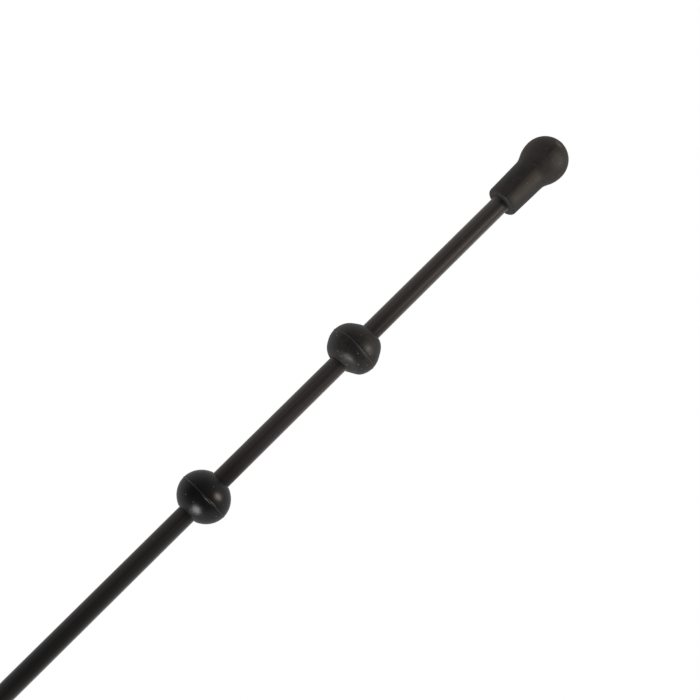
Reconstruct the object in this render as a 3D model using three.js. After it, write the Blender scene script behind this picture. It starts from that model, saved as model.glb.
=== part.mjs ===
// A devil stick baton: a straight round rod with two rubber balls threaded on each half and a
// bulb-ended rubber cap pushed over each end.
//
// Frame: millimetres, the stick lies along X, +Z is up, and the origin is on the rod's axis at the
// middle of the stick. End a is at +X and end b is at -X.

import * as THREE from 'three';

// Driving dimensions.

const stickLength = 600;              // from one cap's tip to the other's
const rodDiameter = 8;
const rodEndChamfer = 0.6;

const innerBallFromMiddle = 88.9;     // middle of the stick to the middle of an inner ball
const ballPitch = 84.1;               // middle of an inner ball to the middle of its outer ball
const ballDiameter = 22.2;            // across the rod
const ballPoleDiameter = 20.2;        // along the rod, before the bore takes the poles away
const ballSeamLand = 0.8;             // width of the straight band where the mould's halves meet
const ballLipWall = 0.6;              // flat rim left around the bore at each mouth
const ballBoreClearance = 0.1;        // radial, bore to rod

const capLength = 38;                 // mouth to tip
const capSleeveWall = 3.1;            // at the mouth
const capSleeveTaper = 0.35;          // how much the sleeve's radius grows from mouth to neck
const capNeckFromMouth = 17.2;        // where the sleeve starts to flare
const capMouthRound = 1.5;
const capBulbDiameter = 20.3;
const capBulbBackLength = 12;         // from the bulb's widest ring back to its buried rear pole
const capFlareAngle = 29;             // degrees round the bulb's rear half where the flare meets it
const capSocketDepth = 26;
const capSocketClearance = 0.1;       // radial, socket to rod
const capSocketEndClearance = 0.3;    // rod's end to the socket's floor

// Facets round each turned piece. A multiple of four, turned by half a facet, puts a flat at the
// bottom, the top and both sides, so the balls stand on flats.
const facetsRound = 32;
const ballArcSteps = 7;
const flareSteps = 4;
const bulbRearSteps = 3;
const bulbFrontSteps = 7;
const mouthRoundSteps = 3;

// Sizes that follow from the driving dimensions.

const rodRadius = rodDiameter / 2;
const ballRadius = ballDiameter / 2;
const ballPoleRadius = ballPoleDiameter / 2;
const ballBoreRadius = rodRadius + ballBoreClearance;
const ballLipRadius = ballBoreRadius + ballLipWall;
const capSocketRadius = rodRadius + capSocketClearance;
const capMouthRadius = capSocketRadius + capSleeveWall;
const capNeckRadius = capMouthRadius + capSleeveTaper;
const capBulbRadius = capBulbDiameter / 2;
const capBulbCentre = capLength - capBulbRadius;
const capMouthFromMiddle = stickLength / 2 - capLength;
const rodHalfLength = capMouthFromMiddle + capSocketDepth - capSocketEndClearance;
const outerBallFromMiddle = innerBallFromMiddle + ballPitch;

const rubberBlack = { color: 0x262424, roughness: 0.6, metalness: 0 };
const rodBlack = { color: 0x2c2929, roughness: 0.4, metalness: 0 };

/** Points on an elliptical arc, as [radius, height], from one angle to another in degrees. */
function ellipseArc(centreHeight, acrossRadius, alongRadius, fromDegrees, toDegrees, steps) {
  const points = [];
  for (let step = 0; step <= steps; step += 1) {
    const share = step / steps;
    const angle = THREE.MathUtils.degToRad(fromDegrees + (toDegrees - fromDegrees) * share);
    points.push([acrossRadius * Math.cos(angle), centreHeight + alongRadius * Math.sin(angle)]);
  }
  return points;
}

/** A solid turned about the lathe's Y axis from [radius, height] points, with a flat facing +Z. */
function turned(profile) {
  const points = profile.map(([radius, height]) => new THREE.Vector2(radius, height));
  return new THREE.LatheGeometry(points, facetsRound, Math.PI / facetsRound, 2 * Math.PI);
}

/** The rod: a plain cylinder with a small chamfer on each end, centred on the origin. */
function rodGeometry() {
  const endRadius = rodRadius - rodEndChamfer;
  const shoulder = rodHalfLength - rodEndChamfer;
  return turned([
    [0, -rodHalfLength],
    [endRadius, -rodHalfLength],
    [rodRadius, -shoulder],
    [rodRadius, shoulder],
    [endRadius, rodHalfLength],
    [0, rodHalfLength],
  ]);
}

/** A ball flattened along the rod, with a straight land at its seam and a bore through it. */
function ballGeometry() {
  const halfLand = ballSeamLand / 2;
  const domeRadius = ballPoleRadius - halfLand;
  const lipAngle = THREE.MathUtils.radToDeg(Math.acos(ballLipRadius / ballRadius));
  const lowerDome = ellipseArc(-halfLand, ballRadius, domeRadius, -lipAngle, 0, ballArcSteps);
  const upperDome = ellipseArc(halfLand, ballRadius, domeRadius, 0, lipAngle, ballArcSteps);
  const mouthHeight = upperDome[upperDome.length - 1][1];
  return turned([
    [ballBoreRadius, -mouthHeight],
    ...lowerDome,
    ...upperDome,
    [ballBoreRadius, mouthHeight],
    [ballBoreRadius, -mouthHeight],
  ]);
}

/** The flare between the sleeve's neck and the bulb's rear half, leaving out both of its ends. */
function flarePoints() {
  const flareEnd = THREE.MathUtils.degToRad(capFlareAngle);
  const endRadius = capBulbRadius * Math.cos(flareEnd);
  const endHeight = capBulbCentre - capBulbBackLength * Math.sin(flareEnd);
  const endSlope = (capBulbRadius * Math.sin(flareEnd)) / (capBulbBackLength * Math.cos(flareEnd));
  const reach = (endHeight - capNeckFromMouth) * 0.4;
  const flare = new THREE.CubicBezierCurve(
    new THREE.Vector2(capNeckRadius, capNeckFromMouth),
    new THREE.Vector2(capNeckRadius, capNeckFromMouth + reach),
    new THREE.Vector2(endRadius - reach * endSlope, endHeight - reach),
    new THREE.Vector2(endRadius, endHeight),
  );
  return flare.getPoints(flareSteps).slice(1, -1).map((point) => [point.x, point.y]);
}

/** A cap with its mouth at height 0: a blind socket, a sleeve, a flare and a bulb. */
function capGeometry() {
  const mouthRing = capMouthRadius - capMouthRound;
  const mouthEdge = ellipseArc(capMouthRound, capMouthRound, capMouthRound, -90, 0, mouthRoundSteps);
  const bulbRear = ellipseArc(
    capBulbCentre, capBulbRadius, capBulbBackLength, -capFlareAngle, 0, bulbRearSteps,
  );
  const bulbFront = ellipseArc(capBulbCentre, capBulbRadius, capBulbRadius, 0, 90, bulbFrontSteps);
  return turned([
    [0, capSocketDepth],
    [capSocketRadius, capSocketDepth],
    [capSocketRadius, 0],
    ...mouthEdge.map(([radius, height]) => [mouthRing + radius, height]),
    [capNeckRadius, capNeckFromMouth],
    ...flarePoints(),
    ...bulbRear,
    ...bulbFront.slice(1, -1),
    [0, capLength],
  ]);
}

/** A named piece in its own finish. */
function piece(name, geometry, finish) {
  const mesh = new THREE.Mesh(geometry, new THREE.MeshStandardMaterial(finish));
  mesh.name = name;
  return mesh;
}

/** What one half of the stick carries, built along its own +Y from the middle of the stick. */
function halfStick(end) {
  const half = new THREE.Group();
  const places = [
    [`inner_ball_${end}`, ballGeometry(), innerBallFromMiddle],
    [`outer_ball_${end}`, ballGeometry(), outerBallFromMiddle],
    [`end_cap_${end}`, capGeometry(), capMouthFromMiddle],
  ];
  for (const [name, geometry, fromMiddle] of places) {
    const mesh = piece(name, geometry, rubberBlack);
    mesh.position.y = fromMiddle;
    half.add(mesh);
  }
  return half;
}

const devilStick = new THREE.Group();

const rod = piece('core_rod', rodGeometry(), rodBlack);
rod.rotation.z = -Math.PI / 2;
devilStick.add(rod);

// Turning +Y onto +X makes end a, and turning it onto -X makes end b.
for (const [end, quarterTurns] of [['a', -1], ['b', 1]]) {
  const half = halfStick(end);
  half.rotation.z = quarterTurns * Math.PI / 2;
  devilStick.add(half);
}

export default devilStick;
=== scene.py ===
"""Looks of a devil stick baton: a fibreglass rod, four rubber balls and two bulb-ended rubber caps.

Lengths are in metres unless a name says millimetres. The stick lies along X with its middle at the
origin. End a is at +X and end b is at -X.
"""

import logging
import math
from dataclasses import dataclass, field
from enum import StrEnum
from typing import Callable

import bmesh
import bpy
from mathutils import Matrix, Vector


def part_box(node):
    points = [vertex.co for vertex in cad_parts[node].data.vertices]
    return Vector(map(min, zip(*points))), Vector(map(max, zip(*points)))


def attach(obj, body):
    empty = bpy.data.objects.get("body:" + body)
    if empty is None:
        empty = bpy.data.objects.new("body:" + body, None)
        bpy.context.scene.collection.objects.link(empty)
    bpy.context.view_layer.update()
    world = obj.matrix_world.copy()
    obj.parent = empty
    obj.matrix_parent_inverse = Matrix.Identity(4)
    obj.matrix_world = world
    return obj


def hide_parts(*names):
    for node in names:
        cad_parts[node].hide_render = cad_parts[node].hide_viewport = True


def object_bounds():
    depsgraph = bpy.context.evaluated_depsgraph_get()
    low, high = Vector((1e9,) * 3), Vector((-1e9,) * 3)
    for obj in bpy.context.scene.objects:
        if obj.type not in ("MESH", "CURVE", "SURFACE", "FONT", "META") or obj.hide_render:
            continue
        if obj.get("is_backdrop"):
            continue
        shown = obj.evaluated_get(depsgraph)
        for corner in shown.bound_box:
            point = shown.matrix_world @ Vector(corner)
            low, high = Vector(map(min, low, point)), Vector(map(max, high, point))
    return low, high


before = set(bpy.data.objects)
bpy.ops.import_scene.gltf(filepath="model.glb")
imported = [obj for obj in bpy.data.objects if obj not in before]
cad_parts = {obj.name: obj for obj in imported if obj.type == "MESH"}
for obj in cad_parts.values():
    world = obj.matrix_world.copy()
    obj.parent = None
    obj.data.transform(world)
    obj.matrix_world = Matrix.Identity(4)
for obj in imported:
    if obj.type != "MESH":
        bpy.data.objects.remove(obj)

LOG = logging.getLogger("devil_stick")
MM = 0.001
AXIS_TOLERANCE = 0.004 * MM     # how level with each other the vertices of one ring are
CUT_TOLERANCE = 0.001 * MM
MERGE_DISTANCE = 0.002 * MM
SMOOTH_UP_TO = math.radians(40)
SPECK_CORE = 0.55               # the share of a speck's radius that is at full strength
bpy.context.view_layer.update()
Place = tuple[float, float, float]


# Colour and node helpers.


def linear(hex_colour: str) -> tuple[float, float, float, float]:
    """Turn an sRGB hex colour into the linear colour that shaders use.

    Args:
        hex_colour: Six hex digits, with or without a leading #.

    Returns:
        Linear red, green and blue, with an alpha of 1.
    """
    digits = hex_colour.lstrip("#")
    shares = [int(digits[place:place + 2], 16) / 255 for place in (0, 2, 4)]
    made = [s / 12.92 if s <= 0.04045 else ((s + 0.055) / 1.055) ** 2.4 for s in shares]
    return (made[0], made[1], made[2], 1.0)


def add_node(
    tree: bpy.types.NodeTree,
    kind: str,
    settings: dict[str, object] | None = None,
    links: dict[str, bpy.types.NodeSocket] | None = None,
) -> bpy.types.Node:
    """Add one node with its settings and links.

    Args:
        tree: The node tree to add it to.
        kind: The node's type name.
        settings: Values by name. A name that is an input sets that input, and any other name sets a
            property of the node. A whole number as text, such as "1", means the input of that place.
        links: Sockets to connect, by the name or place of the input they go into.

    Returns:
        The new node.
    """
    node = tree.nodes.new(kind)

    def socket(name: str) -> bpy.types.NodeSocket | None:
        """The node's input of that name or place, if it has one."""
        return node.inputs[int(name)] if name.isdigit() else node.inputs.get(name)

    properties = {k: v for k, v in (settings or {}).items() if socket(k) is None}
    for name, value in properties.items():
        setattr(node, name, value)
    for name, value in (settings or {}).items():
        if name not in properties:
            socket(name).default_value = value
    for name, source in (links or {}).items():
        tree.links.new(source, socket(name))
    return node


def new_material(name: str) -> tuple[bpy.types.Material, bpy.types.NodeTree, bpy.types.Node]:
    """Start a material with a Principled shader joined to its output.

    Args:
        name: What the material really is.

    Returns:
        The material, its node tree and its Principled shader.
    """
    material = bpy.data.materials.new(name)
    material.use_nodes = True
    tree = material.node_tree
    tree.nodes.clear()
    shader = add_node(tree, "ShaderNodeBsdfPrincipled")
    add_node(tree, "ShaderNodeOutputMaterial", links={"Surface": shader.outputs["BSDF"]})
    return material, tree, shader


def per_metre(feature_mm: float) -> float:
    """The scale of a pattern whose features are this many millimetres across."""
    return 1 / (feature_mm * MM)


def pale_specks(
    tree: bpy.types.NodeTree, spacing_mm: float, speck_share: float, kept_share: float
) -> bpy.types.NodeSocket:
    """Scatter small round specks of dust.

    Args:
        tree: The node tree.
        spacing_mm: How far apart the cells are that may each hold a speck.
        speck_share: A speck's radius as a share of the spacing.
        kept_share: The share of cells that hold one.

    Returns:
        A socket that is 1 on a speck and 0 elsewhere.
    """
    place = add_node(tree, "ShaderNodeTexCoord").outputs["Object"]
    cells = add_node(
        tree, "ShaderNodeTexVoronoi", {"Scale": per_metre(spacing_mm)}, {"Vector": place}
    )
    inside = add_node(
        tree,
        "ShaderNodeMapRange",
        {"From Min": speck_share, "From Max": speck_share * SPECK_CORE},
        {"Value": cells.outputs["Distance"]},
    ).outputs["Result"]
    draw = add_node(tree, "ShaderNodeSeparateColor", links={"Color": cells.outputs["Color"]})
    kept = add_node(
        tree,
        "ShaderNodeMath",
        {"operation": "LESS_THAN", "1": kept_share},
        {"0": draw.outputs["Red"]},
    ).outputs[0]
    return add_node(
        tree, "ShaderNodeMath", {"operation": "MULTIPLY"}, {"0": inside, "1": kept}
    ).outputs[0]


def distance_along(tree: bpy.types.NodeTree) -> bpy.types.NodeSocket:
    """Measure how far each place is along the rod from the middle of the stick, at either end.

    Args:
        tree: The node tree.

    Returns:
        A socket that holds the distance.
    """
    place = add_node(tree, "ShaderNodeTexCoord").outputs["Object"]
    along = add_node(tree, "ShaderNodeSeparateXYZ", links={"Vector": place}).outputs["X"]
    return add_node(
        tree, "ShaderNodeMath", {"operation": "ABSOLUTE"}, {"0": along}
    ).outputs[0]


# Finishes.


@dataclass(frozen=True)
class PultrudedFibreglass:
    """Black pigmented fibreglass, drawn through a heated die.

    The die leaves a satin skin with fine lines along the fibres, so light smears across the rod and
    the tone changes in long streaks. Handling and dust turn it greyer towards the ends.
    """

    name: str = "satin_black_pultruded_fibreglass"
    body: str = "#0f0d0d"
    streak: str = "#1b1918"
    scuffed: str = "#464140"
    dust: str = "#9a948b"
    roughness: float = 0.25
    scuffed_roughness: float = 0.27
    specular: float = 0.1
    sheen: float = 0.8
    sheen_roughness: float = 0.45
    fibre_width_mm: float = 0.8
    fibre_length_mm: float = 60.0
    fibre_depth_mm: float = 0.01
    streak_from: float = 0.42
    streak_to: float = 0.66
    dust_spacing_mm: float = 2.2
    speck_share: float = 0.085
    dust_share: float = 0.16
    scuff_from: float = 0.0
    scuff_to: float = 0.16
    scuff_least: float = 0.05
    scuff_patch_from: float = 0.3
    scuff_patch_to: float = 1.4

    def make(self) -> bpy.types.Material:
        """Build the material.

        Returns:
            The material.
        """
        material, tree, shader = new_material(self.name)
        shader.inputs["Specular IOR Level"].default_value = self.specular
        shader.inputs["Sheen Weight"].default_value = self.sheen
        shader.inputs["Sheen Roughness"].default_value = self.sheen_roughness
        place = add_node(tree, "ShaderNodeTexCoord").outputs["Object"]
        # Fibre lines are a tenth of a millimetre wide, so they are drawn wider in order to show.
        stretch = self.fibre_width_mm / self.fibre_length_mm
        lengthwise = add_node(
            tree, "ShaderNodeMapping", {"Scale": (stretch, 1.0, 1.0)}, {"Vector": place}
        ).outputs["Vector"]
        fibres = add_node(
            tree,
            "ShaderNodeTexNoise",
            {"Scale": per_metre(self.fibre_width_mm), "Detail": 1.0, "Roughness": 0.6},
            {"Vector": lengthwise},
        ).outputs["Fac"]
        streaks = add_node(
            tree,
            "ShaderNodeMapRange",
            {"From Min": self.streak_from, "From Max": self.streak_to},
            {"Value": fibres},
        ).outputs["Result"]
        drawn = add_node(
            tree,
            "ShaderNodeMix",
            {"data_type": "RGBA", "6": linear(self.body), "7": linear(self.streak)},
            {"0": streaks},
        ).outputs[2]
        scuff = self._scuff_share(tree, fibres)
        worn = add_node(
            tree,
            "ShaderNodeMix",
            {"data_type": "RGBA", "7": linear(self.scuffed)},
            {"0": scuff, "6": drawn},
        ).outputs[2]
        specks = pale_specks(tree, self.dust_spacing_mm, self.speck_share, self.dust_share)
        dusty = add_node(
            tree,
            "ShaderNodeMix",
            {"data_type": "RGBA", "7": linear(self.dust)},
            {"0": specks, "6": worn},
        ).outputs[2]
        tree.links.new(dusty, shader.inputs["Base Color"])
        rough = add_node(
            tree,
            "ShaderNodeMapRange",
            {"To Min": self.roughness, "To Max": self.scuffed_roughness},
            {"Value": scuff},
        ).outputs["Result"]
        tree.links.new(rough, shader.inputs["Roughness"])
        bump = add_node(
            tree,
            "ShaderNodeBump",
            {"Strength": 0.6, "Distance": self.fibre_depth_mm * MM},
            {"Height": fibres},
        ).outputs["Normal"]
        tree.links.new(bump, shader.inputs["Normal"])
        return material

    def _scuff_share(
        self, tree: bpy.types.NodeTree, fibres: bpy.types.NodeSocket
    ) -> bpy.types.NodeSocket:
        """Work out how scuffed the rod is at each place along it.

        Args:
            tree: The node tree.
            fibres: The fibre pattern, which breaks the scuff up into streaks.

        Returns:
            A socket from 0, clean, to 1, scuffed.
        """
        ramp = add_node(
            tree,
            "ShaderNodeMapRange",
            {"From Min": self.scuff_from, "From Max": self.scuff_to, "To Min": self.scuff_least},
            {"Value": distance_along(tree)},
        ).outputs["Result"]
        patches = add_node(
            tree,
            "ShaderNodeMapRange",
            {"To Min": self.scuff_patch_from, "To Max": self.scuff_patch_to},
            {"Value": fibres},
        ).outputs["Result"]
        return add_node(
            tree,
            "ShaderNodeMath",
            {"operation": "MULTIPLY", "use_clamp": True},
            {"0": ramp, "1": patches},
        ).outputs[0]


@dataclass(frozen=True)
class MouldedRubber:
    """Black rubber as it leaves a compression mould.

    The mould's blasted face gives a fine, even grain and a soft sheen. Handling leaves it mottled,
    and dust clings to it as pale specks. The flash on a ball's parting line is drawn paler: partly
    rubbed rubber, partly a painted highlight for the light that the raised flash catches. Where a
    gate was torn off, the rubber is dull and tan.
    """

    name: str
    body: str = "#0f0e0e"
    mottled: str = "#191717"
    dust: str = "#a8a49c"
    torn: str = "#6a5d4d"
    gate: Place | None = None
    gate_radius_mm: float = 1.9
    gate_core: float = 0.7
    # A ball's flash is drawn in this paler tone: partly rubbing, partly a painted highlight.
    flash_rub_and_painted_highlight: str = "#34312f"
    flash_at: float | None = None
    flash_width_mm: float = 0.7
    flash_core: float = 0.4
    roughness: float = 0.27
    dull_roughness: float = 0.36
    mottle_mm: float = 3.5
    patch_from: float = 0.35
    patch_to: float = 0.7
    grain_mm: float = 0.34
    grain_depth_mm: float = 0.012
    dust_spacing_mm: float = 3.2
    speck_share: float = 0.085
    dust_share: float = 0.3

    def make(self) -> bpy.types.Material:
        """Build the material.

        Returns:
            The material.
        """
        material, tree, shader = new_material(self.name)
        place = add_node(tree, "ShaderNodeTexCoord").outputs["Object"]
        mottle = add_node(
            tree,
            "ShaderNodeTexNoise",
            {"Scale": per_metre(self.mottle_mm), "Detail": 4.0, "Roughness": 0.65},
            {"Vector": place},
        ).outputs["Fac"]
        patch = add_node(
            tree,
            "ShaderNodeMapRange",
            {"From Min": self.patch_from, "From Max": self.patch_to},
            {"Value": mottle},
        ).outputs["Result"]
        # The grain is about a twentieth of a millimetre, so it is drawn coarser in order to show.
        grain = add_node(
            tree,
            "ShaderNodeTexNoise",
            {"Scale": per_metre(self.grain_mm), "Detail": 2.0, "Roughness": 0.7},
            {"Vector": place},
        ).outputs["Fac"]
        colour = add_node(
            tree,
            "ShaderNodeMix",
            {"data_type": "RGBA", "6": linear(self.body), "7": linear(self.mottled)},
            {"0": patch},
        ).outputs[2]
        if self.gate:
            colour = self._mark_gate(tree, colour, place)
        if self.flash_at:
            colour = self._mark_flash(tree, colour)
        specks = pale_specks(tree, self.dust_spacing_mm, self.speck_share, self.dust_share)
        dusty = add_node(
            tree,
            "ShaderNodeMix",
            {"data_type": "RGBA", "7": linear(self.dust)},
            {"0": specks, "6": colour},
        ).outputs[2]
        tree.links.new(dusty, shader.inputs["Base Color"])
        rough = add_node(
            tree,
            "ShaderNodeMapRange",
            {"To Min": self.roughness, "To Max": self.dull_roughness},
            {"Value": patch},
        ).outputs["Result"]
        tree.links.new(rough, shader.inputs["Roughness"])
        bump = add_node(
            tree,
            "ShaderNodeBump",
            {"Strength": 0.5, "Distance": self.grain_depth_mm * MM},
            {"Height": grain},
        ).outputs["Normal"]
        tree.links.new(bump, shader.inputs["Normal"])
        return material

    def _mark_flash(
        self, tree: bpy.types.NodeTree, colour: bpy.types.NodeSocket
    ) -> bpy.types.NodeSocket:
        """Turn the rubber pale along the flash of a ball's parting line.

        Args:
            tree: The node tree.
            colour: The rubber's colour.

        Returns:
            The colour with the flash rubbed pale.
        """
        past = add_node(
            tree,
            "ShaderNodeMath",
            {"operation": "SUBTRACT", "1": self.flash_at},
            {"0": distance_along(tree)},
        ).outputs[0]
        away = add_node(
            tree, "ShaderNodeMath", {"operation": "ABSOLUTE"}, {"0": past}
        ).outputs[0]
        half_width = self.flash_width_mm / 2 * MM
        share = add_node(
            tree,
            "ShaderNodeMapRange",
            {"From Min": half_width, "From Max": half_width * self.flash_core},
            {"Value": away},
        ).outputs["Result"]
        # The paler flash is partly rubbed rubber and partly a painted highlight for the light it
        # catches.
        return add_node(
            tree,
            "ShaderNodeMix",
            {"data_type": "RGBA", "7": linear(self.flash_rub_and_painted_highlight)},
            {"0": share, "6": colour},
        ).outputs[2]

    def _mark_gate(
        self, tree: bpy.types.NodeTree, colour: bpy.types.NodeSocket, place: bpy.types.NodeSocket
    ) -> bpy.types.NodeSocket:
        """Turn the rubber tan round the gate's scar, on the pieces at both ends.

        Args:
            tree: The node tree.
            colour: The rubber's colour.
            place: Object coordinates.

        Returns:
            The colour with the scars on it.
        """
        along, across, up = self.gate
        away = [
            add_node(
                tree, "ShaderNodeVectorMath", {"operation": "DISTANCE", "1": scar}, {"0": place}
            ).outputs["Value"]
            for scar in ((along, across, up), (-along, -across, up))
        ]
        nearer = add_node(
            tree, "ShaderNodeMath", {"operation": "MINIMUM"}, {"0": away[0], "1": away[1]}
        ).outputs[0]
        radius = self.gate_radius_mm * MM
        share = add_node(
            tree,
            "ShaderNodeMapRange",
            {"From Min": radius, "From Max": radius * self.gate_core},
            {"Value": nearer},
        ).outputs["Result"]
        return add_node(
            tree,
            "ShaderNodeMix",
            {"data_type": "RGBA", "7": linear(self.torn)},
            {"0": share, "6": colour},
        ).outputs[2]


# Edit-mode tools.


def deselect_everything() -> None:
    """Leave no object selected, so that the next operator acts on the new one only."""
    bpy.ops.object.select_all(action="DESELECT")


def ring_radius(point: Vector) -> float:
    """How far a point is from the rod's axis."""
    return math.hypot(point.y, point.z)


class Bench:
    """Edit-mode work on one turned piece whose axis is the rod's.

    Args:
        piece: The object to work on. It has to be active, unturned and at the origin.
    """

    def __init__(self, piece: bpy.types.Object) -> None:
        """Take the piece."""
        self.piece = piece

    def __enter__(self) -> "Bench":
        """Open edit mode."""
        bpy.ops.object.mode_set(mode="EDIT")
        return self

    def __exit__(self, *_: object) -> None:
        """Close edit mode."""
        bpy.ops.object.mode_set(mode="OBJECT")

    def pick(self, wanted: Callable[[Vector], bool]) -> None:
        """Select the vertices that pass a test, and the edges and faces between them.

        Args:
            wanted: The test, given a vertex's place.
        """
        bpy.ops.mesh.select_mode(type="VERT")
        bpy.ops.mesh.select_all(action="DESELECT")
        mesh = bmesh.from_edit_mesh(self.piece.data)
        for vertex in mesh.verts:
            vertex.select = wanted(vertex.co)
        mesh.select_flush(True)
        bmesh.update_edit_mesh(self.piece.data)

    def pick_faces(self, wanted: Callable[[Vector], bool]) -> None:
        """Select the faces whose middles pass a test.

        Args:
            wanted: The test, given the middle of a face.
        """
        bpy.ops.mesh.select_mode(type="FACE")
        bpy.ops.mesh.select_all(action="DESELECT")
        mesh = bmesh.from_edit_mesh(self.piece.data)
        for face in mesh.faces:
            face.select = wanted(face.calc_center_median())
        bmesh.update_edit_mesh(self.piece.data)

    def pick_ring(self, along: float) -> None:
        """Select the ring of vertices at a place along the rod."""
        self.pick(lambda point: abs(point.x - along) < AXIS_TOLERANCE)

    def cut_across(self, along: float, clear: Vector | None = None) -> None:
        """Cut a ring into the piece across the rod.

        Args:
            along: The cut's x.
            clear: The direction in which everything past the cut is thrown away, if any is.
        """
        bpy.ops.mesh.select_all(action="SELECT")
        bpy.ops.mesh.bisect(
            plane_co=(along, 0, 0),
            plane_no=tuple(clear) if clear else (1, 0, 0),
            clear_outer=clear is not None,
            threshold=CUT_TOLERANCE,
        )

    def resize_ring(self, along: float, factor: float) -> None:
        """Grow or shrink what is picked about the rod's axis."""
        bpy.ops.transform.resize(value=(1, factor, factor), center_override=(along, 0, 0))

    def tidy(self) -> None:
        """Merge doubled vertices and turn all faces outwards."""
        bpy.ops.mesh.select_all(action="SELECT")
        bpy.ops.mesh.remove_doubles(threshold=MERGE_DISTANCE)
        bpy.ops.mesh.normals_make_consistent(inside=False)


def settle(piece: bpy.types.Object) -> None:
    """Put a piece's place, turn and size into its mesh."""
    bpy.ops.object.transform_apply(location=True, rotation=True, scale=True)


def add_round_blank(
    name: str, centre: float, radius: float, segments: int, rings: int
) -> bpy.types.Object:
    """Add a sphere whose poles are on the rod's axis, as the blank for a turned piece.

    Args:
        name: The piece's name.
        centre: The sphere's middle, as an x.
        radius: The sphere's radius.
        segments: How many faces go round the rod.
        rings: How many go along it.

    Returns:
        The sphere.
    """
    deselect_everything()
    bpy.ops.mesh.primitive_uv_sphere_add(
        segments=segments,
        ring_count=rings,
        radius=radius,
        location=(centre, 0, 0),
        rotation=(0, math.pi / 2, 0),
    )
    blank = bpy.context.object
    blank.name = name
    settle(blank)
    return blank


def copy_to_end_b(piece: bpy.types.Object, name: str) -> bpy.types.Object:
    """Copy a piece of end a, with a mesh of its own, and turn it half round onto end b.

    Args:
        piece: The piece at end a.
        name: The copy's name.

    Returns:
        The copy.
    """
    deselect_everything()
    piece.select_set(True)
    bpy.context.view_layer.objects.active = piece
    bpy.ops.object.duplicate(linked=False)
    copy = bpy.context.object
    copy.name = name
    bpy.ops.transform.rotate(value=math.pi, orient_axis="Z", center_override=(0, 0, 0))
    settle(copy)
    return copy


def finish_piece(
    piece: bpy.types.Object, material: bpy.types.Material, node: str, body: str
) -> None:
    """Dress a finished piece and hang it on the frame.

    Args:
        piece: The object.
        material: Its finish.
        node: The CAD node that it stands for.
        body: The CAD body that it moves with.
    """
    piece.data.materials.clear()
    piece.data.materials.append(material)
    deselect_everything()
    piece.select_set(True)
    bpy.context.view_layer.objects.active = piece
    bpy.ops.object.shade_smooth_by_angle(angle=SMOOTH_UP_TO)
    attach(piece, body)
    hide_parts(node)
    LOG.info("%s: %d faces, stands for %s", piece.name, len(piece.data.polygons), node)


# Sub-assemblies.


class End(StrEnum):
    """The two ends of the stick, by the letter that their node names end in."""

    A = "a"
    B = "b"


class BallPlace(StrEnum):
    """The balls of one end's pair, by the word that their node names start with."""

    INNER = "inner"
    OUTER = "outer"


@dataclass(frozen=True)
class PartingLine:
    """The line that a two-part mould leaves round a ball.

    Args:
        rib_width: Width of the raised flash.
        rib_height: How far the flash stands proud.
        groove_width: Width of the pinched groove on each side of it.
        groove_depth: How deep that groove is.
        unevenness: How far the flash wanders in height round the ball.
        seed: What the wandering starts from.
    """

    rib_width: float
    rib_height: float
    groove_width: float
    groove_depth: float
    unevenness: float
    seed: int


@dataclass
class CoreRod:
    """The round rod that runs through everything."""

    node: str = "core_rod"
    body: str = "rod"
    sides: int = 96
    diameter: float = 8 * MM
    chamfer: float = 0.6 * MM
    finish: PultrudedFibreglass = field(default_factory=PultrudedFibreglass)

    def build(self) -> None:
        """Turn the rod and round its ends."""
        low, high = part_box(self.node)
        deselect_everything()
        bpy.ops.mesh.primitive_cylinder_add(
            vertices=self.sides,
            radius=self.diameter / 2,
            depth=high.x - low.x,
            end_fill_type="NGON",
            rotation=(0, math.pi / 2, 0),
        )
        rod = bpy.context.object
        rod.name = "fibreglass_rod"
        settle(rod)
        with Bench(rod) as bench:
            # One end at a time, because picking both would pick the edges between them as well.
            for rod_end in (low.x, high.x):
                bench.pick_ring(rod_end)
                bpy.ops.mesh.select_mode(type="EDGE")
                bpy.ops.mesh.bevel(offset=self.chamfer, segments=3, affect="EDGES")
            bench.tidy()
        finish_piece(rod, self.finish.make(), self.node, self.body)


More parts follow.
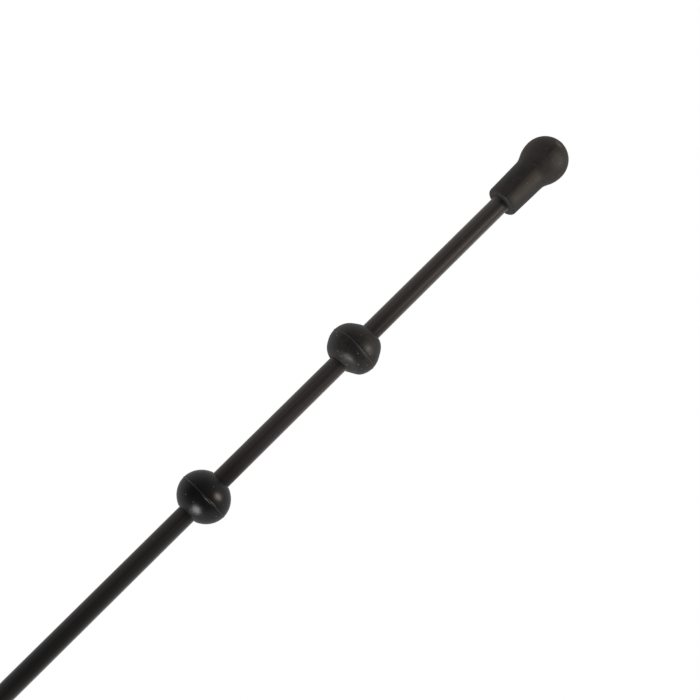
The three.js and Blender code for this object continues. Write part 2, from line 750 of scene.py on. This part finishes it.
@dataclass
class RubberBall:
    """A ball flattened along the rod, with a bore, a rounded lip at each mouth and a parting line.

    Args:
        place: Which ball of the pair it is.
        parting: Its parting line.
        material: Its finish.
        mouth_bevel: How wide the edge of each mouth is rounded.
        mouth_skew: How far each mouth leans, in radians.
        mouth_shift: How far both mouths are trimmed off centre, away from the middle of the stick.
        segments: How many faces go round the rod.
        rings: How many go along it.
        diameter: Its width across the rod.
        pole_diameter: Its width along the rod, before the bore takes the poles away.
        bore_radius: The bore's radius, which clears the rod.
        lip_wall: The flat rim round the bore, before its edge is rounded.
        skew_reach: How far from a mouth its lean is blended in.
        rib_shoulder: The flash's height at its shoulders, as a share of its height.
    """

    place: BallPlace
    parting: PartingLine
    material: bpy.types.Material
    mouth_bevel: float
    mouth_skew: float = 0.0
    mouth_shift: float = 0.0
    segments: int = 128
    rings: int = 48
    diameter: float = 22.2 * MM
    pole_diameter: float = 20.2 * MM
    bore_radius: float = 4.08 * MM
    lip_wall: float = 0.62 * MM
    skew_reach: float = 6.0 * MM
    rib_shoulder: float = 0.6

    def build(self) -> None:
        """Shape the ball, bore it, raise its parting line and copy it to end b."""
        low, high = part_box(f"{self.place}_ball_a")
        self.centre = (low.x + high.x) / 2
        ball = add_round_blank(
            f"rubber_ball_{self.place}_a", self.centre, self.diameter / 2, self.segments, self.rings
        )
        with Bench(ball) as bench:
            bpy.ops.mesh.select_all(action="SELECT")
            flatten = self.pole_diameter / self.diameter
            bpy.ops.transform.resize(value=(flatten, 1, 1), center_override=(self.centre, 0, 0))
            self._bore(bench)
            self._raise_parting_line(bench)
            self._lean_mouths(bench)
            bench.tidy()
        copy = copy_to_end_b(ball, f"rubber_ball_{self.place}_b")
        for piece, end in ((ball, End.A), (copy, End.B)):
            node = f"{self.place}_ball_{end}"
            finish_piece(piece, self.material, node, node)

    @property
    def mouth(self) -> float:
        """How far each mouth is from the ball's middle."""
        share = (self.bore_radius + self.lip_wall) / (self.diameter / 2)
        return self.pole_diameter / 2 * math.sqrt(1 - share * share)

    def _in_bore_edge(self, point: Vector) -> bool:
        """Whether a point is on the bore's edge, at either mouth."""
        level = abs(abs(point.x - self.centre) - self.mouth) < AXIS_TOLERANCE
        return level and ring_radius(point) < self.bore_radius + self.lip_wall / 2

    def _bore(self, bench: Bench) -> None:
        """Cut both mouths, turn their lips inwards and join them with the bore's wall.

        Args:
            bench: The bench, with the piece in edit mode.
        """
        for side in (1, -1):
            bench.cut_across(self.centre + side * self.mouth, clear=Vector((side, 0, 0)))
        for side in (1, -1):
            along = self.centre + side * self.mouth
            bench.pick_ring(along)
            bpy.ops.mesh.extrude_region_move()
            bench.resize_ring(along, self.bore_radius / (self.bore_radius + self.lip_wall))
        bench.pick(self._in_bore_edge)
        bpy.ops.mesh.bridge_edge_loops()
        bench.pick(self._in_bore_edge)
        bpy.ops.mesh.select_mode(type="EDGE")
        self._drop_edges_along_rod(bench)
        bpy.ops.mesh.bevel(offset=self.mouth_bevel, segments=4, affect="EDGES")

    def _drop_edges_along_rod(self, bench: Bench) -> None:
        """Unselect edges that run along the bore, and keep those that go round it.

        Args:
            bench: The bench, with the piece in edit mode.
        """
        mesh = bmesh.from_edit_mesh(bench.piece.data)
        for edge in mesh.edges:
            first, second = edge.verts
            if edge.select and abs(first.co.x - second.co.x) > AXIS_TOLERANCE:
                edge.select = False
        bmesh.update_edit_mesh(bench.piece.data)

    def _raise_parting_line(self, bench: Bench) -> None:
        """Cut rings beside the ball's widest ring, then raise the flash and sink its grooves.

        Args:
            bench: The bench, with the piece in edit mode.
        """
        line = self.parting
        radius = self.diameter / 2
        half = line.rib_width / 2
        groove = half + line.groove_width / 2
        edge = half + line.groove_width
        for offset in (half, groove, edge):
            for side in (1, -1):
                bench.cut_across(self.centre + side * offset)
        shoulder = line.rib_height * self.rib_shoulder
        for offset, lift in ((0.0, line.rib_height), (half, shoulder), (groove, -line.groove_depth)):
            for side in (1, -1) if offset else (1,):
                bench.pick_ring(self.centre + side * offset)
                bench.resize_ring(self.centre, 1 + lift / radius)
        bench.pick(lambda point: abs(point.x - self.centre) < half / 2)
        bpy.ops.transform.vertex_random(offset=line.unevenness, normal=1.0, seed=line.seed)

    def _lean_mouths(self, bench: Bench) -> None:
        """Turn and shift each mouth a little, as on an unevenly trimmed ball, and blend it in.

        Args:
            bench: The bench, with the piece in edit mode.
        """
        if not self.mouth_skew:
            return
        for side in (1, -1):
            mouth = self.centre + side * self.mouth
            bench.pick(lambda point: abs(point.x - mouth) < self.mouth_bevel + AXIS_TOLERANCE)
            bpy.ops.transform.rotate(
                value=-self.mouth_skew,
                orient_axis="Z",
                center_override=(mouth, 0, 0),
                use_proportional_edit=True,
                proportional_edit_falloff="SMOOTH",
                proportional_size=self.skew_reach,
            )
            bpy.ops.transform.translate(
                value=(self.mouth_shift, 0, 0),
                use_proportional_edit=True,
                proportional_edit_falloff="SMOOTH",
                proportional_size=self.skew_reach,
            )


@dataclass
class EndCap:
    """A rubber cap: a blind socket in a sleeve that flares into a bulb.

    Its mould parts lengthwise. Each half bellies a little less than a true circle, so a soft keel
    with a thin line of flash on it runs from mouth to tip on both sides. The gate that fed the
    mould was on that line, and has left a scar on the bulb.

    Args:
        material: Its finish.
        gate: The middle of the gate's scar.
        parting_turn: How far round the rod from the top the parting line is, in radians.
    """

    material: bpy.types.Material
    gate: Place
    parting_turn: float
    segments: int = 96
    rings: int = 48
    sleeve_wall: float = 3.1 * MM
    sleeve_taper: float = 0.35 * MM
    neck_from_mouth: float = 17.2 * MM
    socket_radius: float = 4.1 * MM
    socket_depth: float = 26 * MM
    socket_edge: float = 0.35 * MM
    mouth_round: float = 1.5 * MM
    bulb_radius: float = 10.15 * MM
    bulb_back_length: float = 12 * MM
    flare_angle: float = math.radians(29)
    flare_pull: float = 0.4
    flare_steps: int = 10
    sleeve_steps: int = 8
    keel_height: float = 0.24 * MM
    keel_half_angle: float = math.radians(18.75)
    flash_height: float = 0.07 * MM
    flash_half_width: float = 0.28 * MM
    gate_radius: float = 1.6 * MM
    gate_rim: float = 0.15 * MM
    gate_depth: float = 0.2 * MM
    tip_radius: float = 0.5 * MM

    def build(self) -> None:
        """Shape the bulb, draw the sleeve out of it, sink the socket and copy it to end b."""
        low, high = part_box("end_cap_a")
        self.mouth = low.x
        self.centre = high.x - self.bulb_radius
        cap = add_round_blank(
            "rubber_cap_a", self.centre, self.bulb_radius, self.segments, self.rings
        )
        with Bench(cap) as bench:
            bench.pick(lambda point: point.x - self.centre < AXIS_TOLERANCE)
            stretch = self.bulb_back_length / self.bulb_radius
            bpy.ops.transform.resize(value=(stretch, 1, 1), center_override=(self.centre, 0, 0))
            bench.cut_across(self._flare_end(), clear=Vector((-1, 0, 0)))
            bench.pick_ring(self._flare_end())
            self._draw_sleeve()
            self._turn_to_parting_line()
            self._raise_keel(bench)
            self._cut_gate_scar(bench)
            bench.tidy()
        copy = copy_to_end_b(cap, "rubber_cap_b")
        for piece, end in ((cap, End.A), (copy, End.B)):
            node = f"end_cap_{end}"
            finish_piece(piece, self.material, node, node)

    def _flare_end(self) -> float:
        """Where the flare meets the bulb's rear half, as an x."""
        return self.centre - self.bulb_back_length * math.sin(self.flare_angle)

    def _outline(self) -> list[tuple[float, float]]:
        """The flare, the sleeve, its rounded mouth and the socket.

        Returns:
            Rings as (distance from the mouth, radius), in the order that they are drawn out.
        """
        mouth_radius = self.socket_radius + self.sleeve_wall
        neck_radius = mouth_radius + self.sleeve_taper
        end_radius = self.bulb_radius * math.cos(self.flare_angle)
        end_place = self._flare_end() - self.mouth
        slope = self.bulb_radius / self.bulb_back_length * math.tan(self.flare_angle)
        reach = (end_place - self.neck_from_mouth) * self.flare_pull
        handles = [
            Vector((end_place, end_radius)),
            Vector((end_place - reach, end_radius - reach * slope)),
            Vector((self.neck_from_mouth + reach, neck_radius)),
            Vector((self.neck_from_mouth, neck_radius)),
        ]
        rings = []
        for step in range(1, self.flare_steps + 1):
            t = step / self.flare_steps
            weights = ((1 - t) ** 3, 3 * t * (1 - t) ** 2, 3 * t * t * (1 - t), t ** 3)
            point = sum((h * w for h, w in zip(handles, weights)), Vector((0, 0)))
            rings.append((point.x, point.y))
        for step in range(1, self.sleeve_steps + 1):
            share = step / self.sleeve_steps
            place = self.neck_from_mouth + (self.mouth_round - self.neck_from_mouth) * share
            rings.append((place, neck_radius - self.sleeve_taper * share))
        for degrees in (15, 30, 45, 60, 75, 90):
            turn = math.radians(degrees)
            place = self.mouth_round * (1 - math.sin(turn))
            rings.append((place, mouth_radius - self.mouth_round * (1 - math.cos(turn))))
        for degrees in (0, 30, 60, 90):
            turn = math.radians(degrees)
            place = self.socket_edge * (1 - math.cos(turn))
            rings.append((place, self.socket_radius + self.socket_edge * (1 - math.sin(turn))))
        rings.append((self.socket_depth, self.socket_radius))
        return rings

    def _draw_sleeve(self) -> None:
        """Draw the picked ring out to the mouth and back in to the socket's floor."""
        at = self._flare_end()
        radius = self.bulb_radius * math.cos(self.flare_angle)
        for from_mouth, next_radius in self._outline():
            place = self.mouth + from_mouth
            bpy.ops.mesh.extrude_region_move(TRANSFORM_OT_translate={"value": (place - at, 0, 0)})
            factor = next_radius / radius
            bpy.ops.transform.resize(value=(1, factor, factor), center_override=(place, 0, 0))
            at, radius = place, next_radius
        bpy.ops.mesh.edge_face_add()

    def _turn_to_parting_line(self) -> None:
        """Turn the cap about the rod, so that a line of its edges lies on the parting line."""
        bpy.ops.mesh.select_all(action="SELECT")
        bpy.ops.transform.rotate(
            value=-self.parting_turn, orient_axis="X", center_override=(self.centre, 0, 0)
        )

    def _off_parting_line(self, point: Vector) -> float:
        """How far round the rod a point is from the nearer parting line, in radians."""
        round_rod = math.atan2(-point.y, point.z) - self.parting_turn
        return abs(math.remainder(round_rod, math.pi))

    def _is_outside(self, point: Vector) -> bool:
        """Tell the outer skin from the socket and the very tip.

        Args:
            point: A vertex's place.

        Returns:
            Whether it is on the outer skin.
        """
        # The mouth's flat rim starts one edge out from the socket, and the skin well past that.
        in_socket = ring_radius(point) < self.socket_radius + self.socket_edge * 1.5
        past_floor = point.x > self.mouth + self.socket_depth + AXIS_TOLERANCE
        return ring_radius(point) > self.tip_radius and (past_floor or not in_socket)

    def _raise_keel(self, bench: Bench) -> None:
        """Raise the keel a line of edges at a time, then the thin flash along its top.

        Args:
            bench: The bench, with the piece in edit mode.
        """
        step = 2 * math.pi / self.segments
        either_side = step * 0.2
        for place in range(math.ceil(self.keel_half_angle / step)):
            lift = self.keel_height * (1 - place * step / self.keel_half_angle)
            bench.pick(
                lambda point: self._is_outside(point)
                and abs(self._off_parting_line(point) - place * step) < either_side
            )
            bench.resize_ring(self.centre, 1 + lift / self.bulb_radius)
        across = Vector((0, math.cos(self.parting_turn), math.sin(self.parting_turn)))
        for side in (1, -1):
            bench.pick_faces(lambda point: self._is_outside(point))
            bpy.ops.mesh.bisect(
                plane_co=tuple(across * side * self.flash_half_width),
                plane_no=tuple(across),
                threshold=CUT_TOLERANCE,
            )
        crest = self.flash_half_width * 0.3
        bench.pick(
            lambda point: self._is_outside(point)
            and self._off_parting_line(point) * ring_radius(point) < crest
        )
        bench.resize_ring(self.centre, 1 + self.flash_height / self.bulb_radius)

    def _cut_gate_scar(self, bench: Bench) -> None:
        """Sink a shallow scar where the gate was torn off.

        Args:
            bench: The bench, with the piece in edit mode.
        """
        gate = Vector(self.gate)
        bench.pick_faces(lambda point: (point - gate).length < self.gate_radius)
        bpy.ops.mesh.inset(thickness=self.gate_rim, depth=-self.gate_depth)


# Studio.


@dataclass(frozen=True)
class Softbox:
    """A soft light, placed by what the camera sees of it.

    Args:
        name: The light's name.
        right: How far to the picture's right it lies, as part of a direction.
        up: How far up the picture.
        toward: How far towards the camera.
        distance: How far from the aim point.
        width: How wide it is.
        height: How tall it is.
        watts: Its power.
        tint: Its colour.
        mirrored: Whether glossy surfaces mirror it. A fill light lifts dull surfaces only.
    """

    name: str
    right: float
    up: float
    toward: float
    distance: float
    width: float
    height: float
    watts: float
    tint: str = "#ffffff"
    mirrored: bool = True


@dataclass
class Studio:
    """The camera, the floor and the lights."""

    azimuth: float = math.radians(-45.9)
    elevation: float = math.radians(73.2)
    distance: float = 0.486
    aim: Place = (0.1717, 0.0007, 0.0)
    lens_mm: float = 61.7
    sensor_mm: float = 36.0
    nearest_seen: float = 0.01
    farthest_seen: float = 50.0
    floor_size: float = 12.0
    floor_gap: float = 0.2 * MM
    floor_glow: float = 0.42
    horizon_glow: float = 0.30
    overhead_glow: float = 0.07
    overhead_from: float = 0.6
    far_side_glow: float = 0.10
    far_side_from: float = 0.6
    near_side_dimming: float = 0.05
    near_side_from: float = -0.8
    softboxes: tuple[Softbox, ...] = (
        Softbox("softbox_low_left", -0.49, -0.765, 0.41, 0.9, 0.3, 0.45, 3.6),
        Softbox("softbox_right", 0.93, 0.04, 0.36, 0.6, 0.22, 0.3, 1.15, "#fff1e2"),
        Softbox("fill_upper_left", -0.70, 0.71, -0.10, 0.9, 1.2, 0.16, 4.5, mirrored=False),
    )

    def build(self) -> None:
        """Set up the camera, floor, surroundings and lights."""
        camera = self._camera()
        self._floor()
        self._surroundings()
        for box in self.softboxes:
            self._softbox(box, camera)

    def _back(self) -> Vector:
        """Work out the direction from the aim point to the camera.

        Returns:
            The direction, one long.
        """
        level = math.cos(self.elevation)
        return Vector((
            math.sin(self.azimuth) * level,
            -math.cos(self.azimuth) * level,
            math.sin(self.elevation),
        ))

    def _camera(self) -> bpy.types.Object:
        """Place the camera.

        Returns:
            The camera.
        """
        data = bpy.data.cameras.new("camera")
        data.lens = self.lens_mm
        data.sensor_width = self.sensor_mm
        data.clip_start = self.nearest_seen
        data.clip_end = self.farthest_seen
        camera = bpy.data.objects.new("camera", data)
        bpy.context.scene.collection.objects.link(camera)
        camera.location = Vector(self.aim) + self._back() * self.distance
        camera.rotation_mode = "QUATERNION"
        camera.rotation_quaternion = (-self._back()).to_track_quat("-Z", "Y")
        bpy.context.scene.camera = camera
        return camera

    def _floor(self) -> None:
        """Lay a plain white floor, lit from below so evenly that it holds no shadow."""
        low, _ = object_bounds()
        deselect_everything()
        level = low.z - self.floor_gap
        bpy.ops.mesh.primitive_plane_add(size=self.floor_size, location=(0, 0, level))
        floor = bpy.context.object
        floor.name = "floor"
        material, tree, shader = new_material("backlit_white_acrylic")
        shader.inputs["Base Color"].default_value = (0, 0, 0, 1)
        shader.inputs["Specular IOR Level"].default_value = 0.0
        shader.inputs["Emission Color"].default_value = (1, 1, 1, 1)
        # The floor is white to the camera, and gives the object less light than that white would.
        seen = add_node(tree, "ShaderNodeLightPath").outputs["Is Camera Ray"]
        glow = add_node(tree, "ShaderNodeMapRange", {"To Min": self.floor_glow}, {"Value": seen})
        tree.links.new(glow.outputs["Result"], shader.inputs["Emission Strength"])
        # The glow is even, so rays that meet it by chance are smoother than rays aimed at it.
        material.cycles.emission_sampling = "NONE"
        floor.data.materials.append(material)
        floor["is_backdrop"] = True

    def _surroundings(self) -> None:
        """Surround the object with a studio that is paler low down and towards end a.

        The camera sees it as plain white, and only the object sees it as it is.
        """
        world = bpy.data.worlds.new("studio")
        world.use_nodes = True
        # It is even too, so no rays are aimed at it.
        world.cycles.sampling_method = "NONE"
        bpy.context.scene.world = world
        tree = world.node_tree
        tree.nodes.clear()
        way = add_node(tree, "ShaderNodeTexCoord").outputs["Generated"]
        parts = add_node(tree, "ShaderNodeSeparateXYZ", links={"Vector": way}).outputs
        low = add_node(
            tree,
            "ShaderNodeMapRange",
            {
                "From Min": 0.0,
                "From Max": self.overhead_from,
                "To Min": self.horizon_glow,
                "To Max": self.overhead_glow,
                "interpolation_type": "SMOOTHSTEP",
            },
            {"Value": parts["Z"]},
        ).outputs["Result"]
        beyond = add_node(
            tree,
            "ShaderNodeMapRange",
            {
                "From Min": self.near_side_from,
                "From Max": self.far_side_from,
                "To Min": -self.near_side_dimming,
                "To Max": self.far_side_glow,
            },
            {"Value": parts["X"]},
        ).outputs["Result"]
        level = add_node(
            tree, "ShaderNodeMath", {"operation": "ADD"}, {"0": low, "1": beyond}
        ).outputs[0]
        seen = add_node(tree, "ShaderNodeLightPath").outputs["Is Camera Ray"]
        strength = add_node(
            tree,
            "ShaderNodeMix",
            {"data_type": "FLOAT", "3": 1.0},
            {"0": seen, "2": level},
        ).outputs[0]
        background = add_node(
            tree, "ShaderNodeBackground", {"Color": (1, 1, 1, 1)}, {"Strength": strength}
        )
        add_node(
            tree, "ShaderNodeOutputWorld", links={"Surface": background.outputs["Background"]}
        )

    def _softbox(self, box: Softbox, camera: bpy.types.Object) -> None:
        """Hang one softbox so that it faces the aim point.

        Args:
            box: The softbox.
            camera: The camera, whose picture the softbox is placed by.
        """
        aim = Vector(self.aim)
        seen_from_camera = Vector((box.right, box.up, box.toward)).normalized()
        way = camera.rotation_quaternion @ seen_from_camera
        data = bpy.data.lights.new(box.name, "AREA")
        data.shape = "RECTANGLE"
        data.size = box.width
        data.size_y = box.height
        data.energy = box.watts
        data.color = linear(box.tint)[:3]
        light = bpy.data.objects.new(box.name, data)
        bpy.context.scene.collection.objects.link(light)
        light.location = aim + way * box.distance
        light.rotation_mode = "QUATERNION"
        light.rotation_quaternion = way.to_track_quat("Z", "Y")
        light.visible_glossy = box.mirrored


def build_balls() -> None:
    """Make the two pairs of balls, each with the flash that its mould leaves."""
    low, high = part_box("inner_ball_a")
    inner_at = (low.x + high.x) / 2
    low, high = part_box("outer_ball_a")
    outer_at = (low.x + high.x) / 2
    thin = PartingLine(0.36 * MM, 0.14 * MM, 0.40 * MM, 0.08 * MM, 0.03 * MM, seed=3)
    thick = PartingLine(0.7 * MM, 0.13 * MM, 0.5 * MM, 0.16 * MM, 0.04 * MM, seed=8)
    # The outer ball is the more handled one, so it is duller, greyer and dustier.
    dusty = MouldedRubber(
        "dull_black_moulded_rubber",
        flash_at=outer_at,
        flash_width_mm=0.5,
        # The outer ball's flash is paler still: partly rubbing, partly a painted highlight.
        flash_rub_and_painted_highlight="#4a4643",
        body="#252323",
        mottled="#363331",
        roughness=0.36,
        dull_roughness=0.5,
        mottle_mm=1.8,
        dust_spacing_mm=2.2,
        speck_share=0.12,
        dust_share=0.8,
    )
    # The inner ball still has the mould's satin, with crisp highlights on a deep black.
    clean = MouldedRubber(
        "satin_black_moulded_rubber",
        flash_at=inner_at,
        flash_width_mm=0.8,
        dust_spacing_mm=2.4,
        dust_share=0.4,
    )
    RubberBall(
        BallPlace.OUTER,
        thin,
        dusty.make(),
        mouth_bevel=0.5 * MM,
        mouth_skew=math.radians(5.5),
        mouth_shift=0.4 * MM,
    ).build()
    RubberBall(BallPlace.INNER, thick, clean.make(), mouth_bevel=0.2 * MM).build()


def build_caps() -> None:
    """Make both end caps, with the gate on the parting line, halfway round the bulb's front."""
    _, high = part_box("end_cap_a")
    parting_turn = math.radians(9.3)
    from_pole = math.radians(53)
    bulb_radius = EndCap.bulb_radius
    ring = bulb_radius * math.sin(from_pole)
    gate = (
        high.x - bulb_radius * (1 - math.cos(from_pole)),
        -ring * math.sin(parting_turn),
        ring * math.cos(parting_turn),
    )
    # The caps knock about most, so they are matte and a warmer, paler black.
    matte = MouldedRubber(
        "matte_black_moulded_rubber",
        body="#322f2d",
        mottled="#3f3a37",
        gate=gate,
        gate_radius_mm=2.1,
        roughness=0.5,
        dull_roughness=0.62,
        mottle_mm=4.0,
        dust="#8a857d",
        dust_spacing_mm=1.9,
        speck_share=0.1,
        dust_share=0.5,
    )
    EndCap(matte.make(), gate, parting_turn).build()


def main() -> None:
    """Build the camera and lights, then each piece from the middle outwards."""
    logging.basicConfig(level=logging.INFO, format="%(name)s: %(message)s")
    bpy.context.scene.view_settings.view_transform = "Standard"
    Studio().build()
    CoreRod().build()
    build_balls()
    build_caps()


if __name__ == "__main__":
    main()
